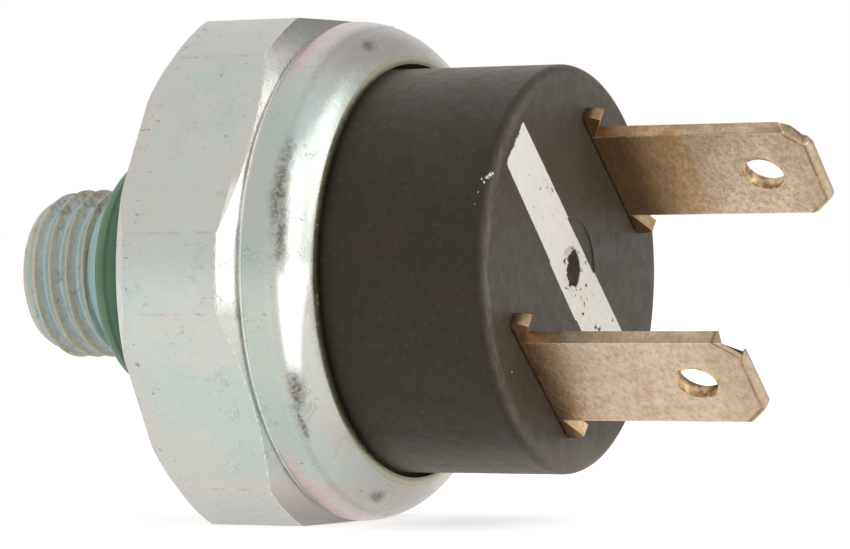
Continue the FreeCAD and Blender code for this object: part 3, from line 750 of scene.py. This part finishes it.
moulding = {
    "dark": (32, 27, 21), "pale": (42, 36, 28), "plum": (50, 40, 37), "speck": (132, 124, 106),
    "rubAndSheen": (104, 97, 86), "paint": (231, 228, 222), "paintShade": (215, 210, 200), "fleck": (92, 84, 70),
}
# where the moulding is painted paler: a painted sheen near its underside, and wear with a painted highlight
# round its face's rim, most on the near side
rubbed = {
    "underside": (-8.4, -10.6), "rim": (9.95, 10.6), "behindFace": (-0.3, -0.12), "nearSide": (2.0, 9.5),
}
# the stripe's edges run at a slight angle to each other; from and to are its ends along the blades' width
stripe = {
    "low": -1.6, "lowLean": 0.055, "high": 1.71, "highLean": 0.02, "soft": 0.03, "from": -9.42, "to": 9.8,
    "onFace": (-0.17, -0.11), "pool": (0.55, 0.5), "poolRadius": (1.25, 1.2),
    "tiredRadius": (3.2, 1.2), "tiredSide": (1.5, 6.0), "chips": (0.7, 0.67),
}
# specks of the same paint that missed the stripe, in the base's own frame: place, then size
splashes = [
    (19.77, -2.5, 10.28, 0.08), (19.7, -2.66, 10.34, 0.1), (19.6, -2.86, 10.38, 0.09),
    (19.5, -3.15, 10.34, 0.06), (19.36, -3.0, 10.4, 0.05), (19.3, -3.7, 10.18, 0.035),
    (19.2, -4.3, 9.95, 0.03), (19.79, -8.81, 2.07, 0.06),
]


def mouldingFinish():
    f = Finish("blackMoulding", clocked=True, Specular_IOR_Level=0.32, Specular_Tint=(1.0, 0.88, 0.72, 1.0),
               Sheen_Weight=0.16, Sheen_Roughness=0.45, Sheen_Tint=(1.0, 0.88, 0.7, 1.0))
    s = moulding
    radius = fromAxis(f)
    black = f.mix(f.noise(0.7, 5, roughness=0.6), tone(*s["dark"]), tone(*s["pale"]))
    black = f.paint(f.ramp(f.noise(0.32, 4, shift=23), 0.48, 0.66, 0, 0.55), black, s["plum"])
    black = f.paint(f.ramp(f.noise(3, 4, shift=2), 0.5, 0.8, 0, 0.16), black, s["rubAndSheen"])
    specks = f.ramp(f.noise(5, 3, shift=5, roughness=0.65), 0.72, 0.8, 0, 0.5)
    black = f.paint(specks, black, s["speck"])
    height = f.plus(f.times(f.y, math.sin(clocking)), f.times(f.z, math.cos(clocking)))
    # a painted sheen, paler towards the underside, where light comes up from the floor
    black = f.paint(f.ramp(height, *rubbed["underside"], 0, 0.6), black, s["rubAndSheen"])
    black = f.paint(rimWearAndHighlight(f, radius), black, s["rubAndSheen"])
    paint = makeStripe(f, radius)
    white = f.mix(f.noise(1.2, 5, shift=8), tone(*s["paintShade"]), tone(*s["paint"]))
    flecks = f.ramp(f.noise(3.2, 5, shift=44, roughness=0.7), 0.64, 0.7, 0, 0.8)
    white = f.paint(flecks, white, s["fleck"])
    dull = f.ramp(f.noise(1.3, 5), 0.3, 0.7, 0.42, 0.56)
    f.wear(Base_Color=f.mix(paint, black, white), Roughness=f.blend(paint, dull, 0.6))
    f.bump(f.noise(3.4, 6, shift=3, roughness=0.65), 0.022)
    f.bump(f.noise(9, 4, shift=14, roughness=0.7), 0.02)
    f.bump(f.noise(0.5, 3, shift=7), 0.04)
    f.bump(paint, 0.03)
    return f.material


def rimWearAndHighlight(f, radius):
    # the face's rim is worn in streaks that follow it round, with a painted highlight strongest on the side
    # towards the camera
    s = rubbed
    arc = f.times(f.math("ARCTAN2", f.z, f.y), base["radius"])
    place = f.add("ShaderNodeCombineXYZ", X=f.x, Y=radius, Z=arc).outputs[0]
    streaks = f.noise(2.6, 6, stretch=(1, 1.4, 0.5), shift=12, roughness=0.75, at=place)
    face = f.ramp(f.x, *[faceAt + depth for depth in s["behindFace"]])
    rim = f.times(f.band(radius, *s["rim"], 0.2), face)
    near = f.minus(f.times(f.z, math.sin(clocking)), f.times(f.y, math.cos(clocking)))
    rim = f.times(rim, f.ramp(near, *s["nearSide"], 0.25, 1))
    return f.times(rim, f.ramp(streaks, 0.36, 0.66, 0.05, 0.62))


def makeStripe(f, radius):
    s = stripe
    side = f.times(f.z, -1.0)
    ragged = f.minus(f.noise(2.2, 6, shift=11, roughness=0.7), 0.5)
    out = f.plus(f.y, f.times(ragged, 0.1))
    low = f.ramp(f.plus(out, f.times(side, s["lowLean"])), s["low"] - s["soft"], s["low"] + s["soft"])
    high = f.ramp(f.plus(out, f.times(side, s["highLean"])), s["high"] + s["soft"], s["high"] - s["soft"])
    endways = f.plus(side, f.times(ragged, 0.7))
    body = f.times(f.times(low, high), f.band(endways, s["from"], s["to"], 0.05))
    onFace = f.ramp(f.x, *[faceAt + depth for depth in s["onFace"]])
    # paint in the dimple reaches only its near part
    far = f.minus(f.times(f.y, math.cos(clocking)), f.times(f.z, math.sin(clocking)))
    far = f.plus(far, f.times(ragged, 1.1))
    pool = f.times(f.ramp(far, *s["pool"]), f.ramp(radius, *s["poolRadius"]))
    # the paint flakes more beside the dimple and towards the low end
    tired = f.times(f.ramp(f.noise(0.4, 2, shift=50), 0.42, 0.6), 0.05)
    tired = f.plus(tired, f.ramp(radius, *s["tiredRadius"], 0, 0.035))
    tired = f.plus(tired, f.ramp(side, *s["tiredSide"], 0, 0.045))
    chips = f.ramp(f.plus(f.noise(2.0, 5, shift=17, roughness=0.7), tired), *s["chips"])
    painted = f.times(f.times(body, f.most(onFace, pool)), chips)
    return f.most(painted, loosePaint(f))


def loosePaint(f):
    total = 0.0
    for x, out, side, size in splashes:
        gap = f.add("ShaderNodeVectorMath", {"operation": "DISTANCE"})
        f.put(gap.inputs[0], f.at)
        f.put(gap.inputs[1], (x, out, side))
        crumbled = f.times(f.noise(13, 5, shift=x, roughness=0.7), size * 4)
        edge = f.plus(gap.outputs["Value"], crumbled)
        total = f.most(f.ramp(edge, size * 3.2, size * 2.9), total)
    return total


tarnish = {
    "pale": (218, 202, 182), "tin": (198, 176, 151), "gold": (206, 158, 94), "brown": (130, 102, 72),
    "dark": (92, 70, 52), "copper": (196, 142, 112), "olive": (160, 142, 106), "holeWall": (132, 104, 74),
    "holeHighlight": (216, 186, 144), "edgeLine": (228, 212, 190),
}
# where the tarnish and its painted light and shade change: reaches along the lower and the upper blade, and
# across either
tarnishAt = {
    "gold": ((23.0, 20.5), (26.0, 24.0)), "root": ((21.2, 19.6), (23.4, 21.2)),
    "tired": ((30.0, 31.8), (28.5, 31.6)), "olive": (28.6, 31.4), "copper": (24, 20.5),
    "edge": (3.1, 3.13), "edgeLine": (3.05, 3.12), "hole": (1.215, 1.2), "rim": (0.2, 0.34),
}


def bladeFinish():
    f = Finish("tarnishedTin", clocked=True, Metallic=1.0)
    s, at = tarnish, tarnishAt
    upper = f.ramp(f.y, -1, 1)
    wavy = f.plus(f.x, f.times(f.minus(f.noise(0.5, 4, shift=19), 0.5), 2.4))
    fine = f.noise(3.0, 6, stretch=(1.5, 1, 1), shift=3, roughness=0.7)
    colour = f.mix(f.noise(1.2, 4, shift=1), tone(*s["tin"]), tone(*s["pale"]))
    low, high = at["gold"]
    gold = f.blend(upper, f.ramp(wavy, *low, 0.05, 0.5), f.ramp(wavy, *high, 0.08, 0.72))
    colour = f.paint(f.times(gold, f.ramp(fine, 0.34, 0.6, 0.6, 1)), colour, s["gold"])
    low, high = at["root"]
    root = f.blend(upper, f.ramp(wavy, *low, 0, 0.45), f.ramp(wavy, *high, 0, 0.54))
    colour = f.paint(root, colour, s["dark"])
    low, high = at["tired"]
    tired = f.blend(upper, f.ramp(f.x, *low, 0.0, 0.05), f.ramp(f.x, *high, 0.01, 0.06))
    mottle = f.ramp(f.plus(fine, tired), 0.4, 0.68, 0, f.blend(upper, 0.38, 0.42))
    colour = f.paint(mottle, colour, s["brown"])
    colour = f.paint(f.ramp(f.x, *at["olive"], 0, 0.42), colour, s["olive"])
    colour = f.paint(f.ramp(f.noise(1.1, 5, shift=14), 0.5, 0.7, 0, 0.28), colour, s["olive"])
    grains = f.ramp(f.noise(7, 4, shift=13, roughness=0.7), 0.56, 0.7, 0, 0.34)
    colour = f.paint(grains, colour, s["dark"])
    patches = f.ramp(f.noise(1.6, 5, shift=27), 0.5, 0.64)
    blush = f.times(patches, f.ramp(f.x, *at["copper"], 0.15, 0.85))
    colour = f.paint(f.times(blush, f.blend(upper, 0.55, 0.12)), colour, s["copper"])
    colour = bladeEdges(f, colour, upper)
    f.wear(Base_Color=colour, Roughness=f.ramp(fine, 0.35, 0.65, 0.32, 0.46))
    f.bump(f.noise(4.5, 6, roughness=0.65), 0.014)
    f.bump(f.noise(0.6, 4, shift=5), 0.05)
    return f.material


def bladeEdges(f, colour, upper):
    # the sheared edges, browner with tarnish and painted shade, the painted highlight lines along them, the
    # coined rim with a line of painted shade, and the wall of the hole, dark brown with painted highlights
    s, at = tarnish, tarnishAt
    away, across = bladePlace(f, upper)
    flank = f.math("ABSOLUTE", across)
    streaks = f.noise(1.6, 5, stretch=(0.4, 1, 1), shift=33)
    # the sheared edges are browner, with tarnish and painted shade
    edgeTarnishAndShade = f.times(f.ramp(flank, *at["edge"]), f.ramp(streaks, 0.35, 0.6, 0.15, f.blend(upper, 0.36, 0.55)))
    colour = f.paint(edgeTarnishAndShade, colour, s["brown"])
    # painted highlight lines along the blades' edges
    bright = f.ramp(f.noise(1.2, 4, shift=8), 0.35, 0.55, 0.15, 0.6)
    colour = f.paint(f.times(f.band(flank, *at["edgeLine"], 0.02), bright), colour, s["edgeLine"])
    colour = f.paint(coinEdgeShade(f, flank), colour, s["brown"])
    # the hole's wall is dark brown, with painted highlights in patches
    wall = f.mix(f.ramp(f.noise(1.6, 4), 0.38, 0.62), tone(*s["holeWall"]), tone(*s["holeHighlight"]))
    return f.mix(f.ramp(away, *at["hole"]), colour, wall)


def coinEdgeShade(f, flank):
    # a dark line of painted shade where the coined edge meets the face round the end
    s = bladeShape
    ends = f.minus(s["tip"], f.x)
    beyond = f.minus(s["tip"] + s["half"] - clean["upperBlade"], f.plus(f.x, flank))
    inward = f.math("MINIMUM", ends, f.times(beyond, math.sqrt(0.5)))
    broken = f.ramp(f.noise(1.3, 4, shift=66), 0.34, 0.56, 0.25, 0.85)
    return f.times(f.band(inward, *tarnishAt["rim"], 0.05), broken)


def bladePlace(f, upper):
    # how far a point is from its blade's hole, and across from its middle line
    middle = f.blend(upper, -blades["lowerBlade"]["side"], -blades["upperBlade"]["side"])
    along = f.minus(f.x, bladeShape["holeAt"])
    across = f.minus(f.z, middle)
    away = f.math("SQRT", f.plus(f.times(along, along), f.times(across, across)))
    return away, across


innerFinishes = {
    "plain_steel": {"low": (150, 151, 152), "high": (178, 178, 176), "Metallic": 1.0, "Roughness": 0.32},
    "brass_pad": {"low": (178, 146, 86), "high": (206, 174, 112), "Metallic": 1.0, "Roughness": 0.3},
    "spring_steel": {"low": (140, 142, 146), "high": (172, 172, 174), "Metallic": 1.0, "Roughness": 0.24},
    "rivet_brass": {"low": (176, 142, 84), "high": (204, 170, 108), "Metallic": 1.0, "Roughness": 0.34},
    "spring_bronze": {"low": (176, 128, 84), "high": (206, 156, 108), "Metallic": 1.0, "Roughness": 0.28},
    "contact_silver": {"low": (206, 204, 198), "high": (228, 226, 220), "Metallic": 1.0, "Roughness": 0.3},
    "polyimide": {"low": (176, 104, 34), "high": (206, 134, 52), "Metallic": 0.0, "Roughness": 0.22},
    "guide_plastic": {"low": (206, 198, 180), "high": (222, 215, 198), "Metallic": 0.0, "Roughness": 0.5},
    "ceramic_pin": {"low": (220, 217, 210), "high": (234, 231, 225), "Metallic": 0.0, "Roughness": 0.28},
    "gasket_rubber": {"low": (38, 38, 38), "high": (52, 51, 50), "Metallic": 0.0, "Roughness": 0.62},
}


def innerFinish(slot):
    s = innerFinishes[slot]
    f = Finish(slot + "Finish", Metallic=s["Metallic"], Roughness=s["Roughness"])
    f.wear(Base_Color=f.mix(f.noise(1.6, 5), tone(*s["low"]), tone(*s["high"])))
    f.bump(f.noise(6, 4, stretch=(3, 1, 1) if s["Metallic"] else (1, 1, 1)), 0.008)
    return f.material


# the spring arm, which bends between its rivet and its free length out along the blades, is cut across there
springArm = {
    "bendFrom": -4.3, "bendTo": -2.9, "bendCuts": 8, "out": (0, math.cos(clocking), math.sin(clocking)),
}


def makeSpringArm():
    s = springArm
    bm = copySolid("contact_arm")
    step = (s["bendTo"] - s["bendFrom"]) / s["bendCuts"]
    for i in range(s["bendCuts"] + 1):
        cutPlane(bm, (0, s["bendFrom"] + step * i, 0), (0, 1, 0))
    arm = finishPiece(bm, "springArm", "contact_arm", innerFinish("spring_bronze"),
                      clocked=True, body=None)
    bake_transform(arm)


def makeSnapDisc():
    # the disc, which flattens against its seat as the pad comes down on its crown, is the node's own solid on
    # a mesh of its own
    disc = finishPiece(copySolid("snap_disc"), "snapDisc", "snap_disc",
                       innerFinish("spring_steel"), clocked=True)
    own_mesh(disc)


def dressInside(rubber):
    made = {"green_rubber": rubber}
    slots = {part["node"]: part["material_slot"] for part in frame["record"]["subparts"]}
    for name, node in frame["nodes"].items():
        if node.hide_render:
            continue
        slot = slots[name]
        if slot not in made:
            made[slot] = innerFinish(slot)
        node.data.materials.clear()
        node.data.materials.append(made[slot])
    print("inner pieces dressed")


# Floor, light and camera

ground = {"half": 1.5, "colour": (0.8, 0.8, 0.79, 1), "roughness": 0.8, "glow": 0.6}


def makeFloor():
    # it glows only for the camera and in reflections, so that it shows white and lights nothing
    bm = bmesh.new()
    bmesh.ops.create_grid(bm, x_segments=1, y_segments=1, size=ground["half"])
    bmesh.ops.translate(bm, verts=bm.verts, vec=(0, 0, -hexBody["flat"] * mm))
    mesh = bpy.data.meshes.new("studioFloor")
    bm.to_mesh(mesh)
    bm.free()
    floor = bpy.data.objects.new("studioFloor", mesh)
    bpy.context.scene.collection.objects.link(floor)
    material = bpy.data.materials.new("paleFloor")
    material.use_nodes = True
    tree = material.node_tree
    bsdf = tree.nodes["Principled BSDF"]
    bsdf.inputs["Base Color"].default_value = ground["colour"]
    bsdf.inputs["Roughness"].default_value = ground["roughness"]
    bsdf.inputs["Specular IOR Level"].default_value = 0.0
    bsdf.inputs["Emission Color"].default_value = (1, 1, 1, 1)
    tree.links.new(seenShare(tree, 0.0, ground["glow"]), bsdf.inputs["Emission Strength"])
    mesh.materials.append(material)


def seenShare(tree, other, seen):
    path = tree.nodes.new("ShaderNodeLightPath")
    share = path.outputs["Is Camera Ray"]
    for name in ("Is Glossy Ray", "Is Transmission Ray"):
        both = tree.nodes.new("ShaderNodeMath")
        both.operation = "MAXIMUM"
        tree.links.new(share, both.inputs[0])
        tree.links.new(path.outputs[name], both.inputs[1])
        share = both.outputs[0]
    return pick(tree, share, (0, 1), (other, seen))


def pick(tree, value, span, results):
    node = tree.nodes.new("ShaderNodeMapRange")
    tree.links.new(value, node.inputs["Value"])
    for key, item in zip(("From Min", "From Max", "To Min", "To Max"), span + results):
        if isinstance(item, bpy.types.NodeSocket):
            tree.links.new(item, node.inputs[key])
        else:
            node.inputs[key].default_value = item
    return node.outputs[0]


# mirrored in the plating, the studio is darker high up behind the part
studio = {
    "fill": 0.72, "level": 0.98, "behind": (0.45, 0.65, 0.6), "behindSpan": (0.72, 0.96), "behindLevel": 0.66,
}
softBoxes = {
    "keyBox": {"from": (397, -211, 180), "size": (190, 380), "glow": 2.1},
    "sideBox": {"from": (470, 83, 165), "size": (250, 540), "glow": 1.7},
}


def lightScene():
    world = bpy.data.worlds.new("studioWorld")
    bpy.context.scene.world = world
    world.use_nodes = True
    tree = world.node_tree
    towards = tree.nodes.new("ShaderNodeVectorMath")
    towards.operation = "DOT_PRODUCT"
    tree.links.new(tree.nodes.new("ShaderNodeTexCoord").outputs["Generated"], towards.inputs[0])
    towards.inputs[1].default_value = Vector(studio["behind"]).normalized()
    levels = (studio["level"], studio["behindLevel"])
    mirrored = pick(tree, towards.outputs["Value"], studio["behindSpan"], levels)
    shown = seenShare(tree, studio["fill"], mirrored)
    path = tree.nodes.new("ShaderNodeLightPath")
    strength = pick(tree, path.outputs["Is Camera Ray"], (0, 1), (shown, 1.0))
    background = tree.nodes["Background"]
    background.inputs["Color"].default_value = (1, 1, 1, 1)
    tree.links.new(strength, background.inputs["Strength"])
    for name, s in softBoxes.items():
        lamp = bpy.data.lights.new(name, "AREA")
        lamp.shape = "RECTANGLE"
        lamp.size, lamp.size_y = s["size"][0] * mm, s["size"][1] * mm
        lamp.energy = s["glow"] * math.pi * lamp.size * lamp.size_y
        box = bpy.data.objects.new(name, lamp)
        bpy.context.scene.collection.objects.link(box)
        place = Vector(s["from"]) * mm
        box.matrix_world = Matrix.Translation(place) @ (-place).to_track_quat("-Z", "Y").to_matrix().to_4x4()


# The lens, distance and turns come from fitting a pinhole camera to the part's outlines
shot = {
    "place": (117.862, -207.881, 0.703), "yaw": 27.2, "pitch": 0.4635, "roll": -0.4125, "lens": 184.205,
    "nearest": 0.01,
}


def makeCamera():
    camera = bpy.data.cameras.new("photoCamera")
    camera.lens = shot["lens"]
    camera.clip_start = shot["nearest"]
    eye = bpy.data.objects.new("photoCamera", camera)
    bpy.context.scene.collection.objects.link(eye)
    aim = Matrix.Translation(Vector(shot["place"]) * mm)
    for angle, axis in ((-shot["pitch"], "X"), (-shot["roll"], "Y"), (shot["yaw"], "Z"), (90, "X")):
        aim = aim @ Matrix.Rotation(math.radians(angle), 4, axis)
    eye.matrix_world = aim
    bpy.context.scene.camera = eye


makeCamera()
makeFloor()
lightScene()
bpy.context.scene.view_settings.view_transform = "Standard"
print("studio ready")

rubber = rubberFinish()
makeHexBody(zincFinish())
makePortRing(rubber)
makeBase(mouldingFinish())
tin = bladeFinish()
for bladeName in blades:
    makeBlade(bladeName, tin)
makeSpringArm()
makeSnapDisc()
dressInside(rubber)
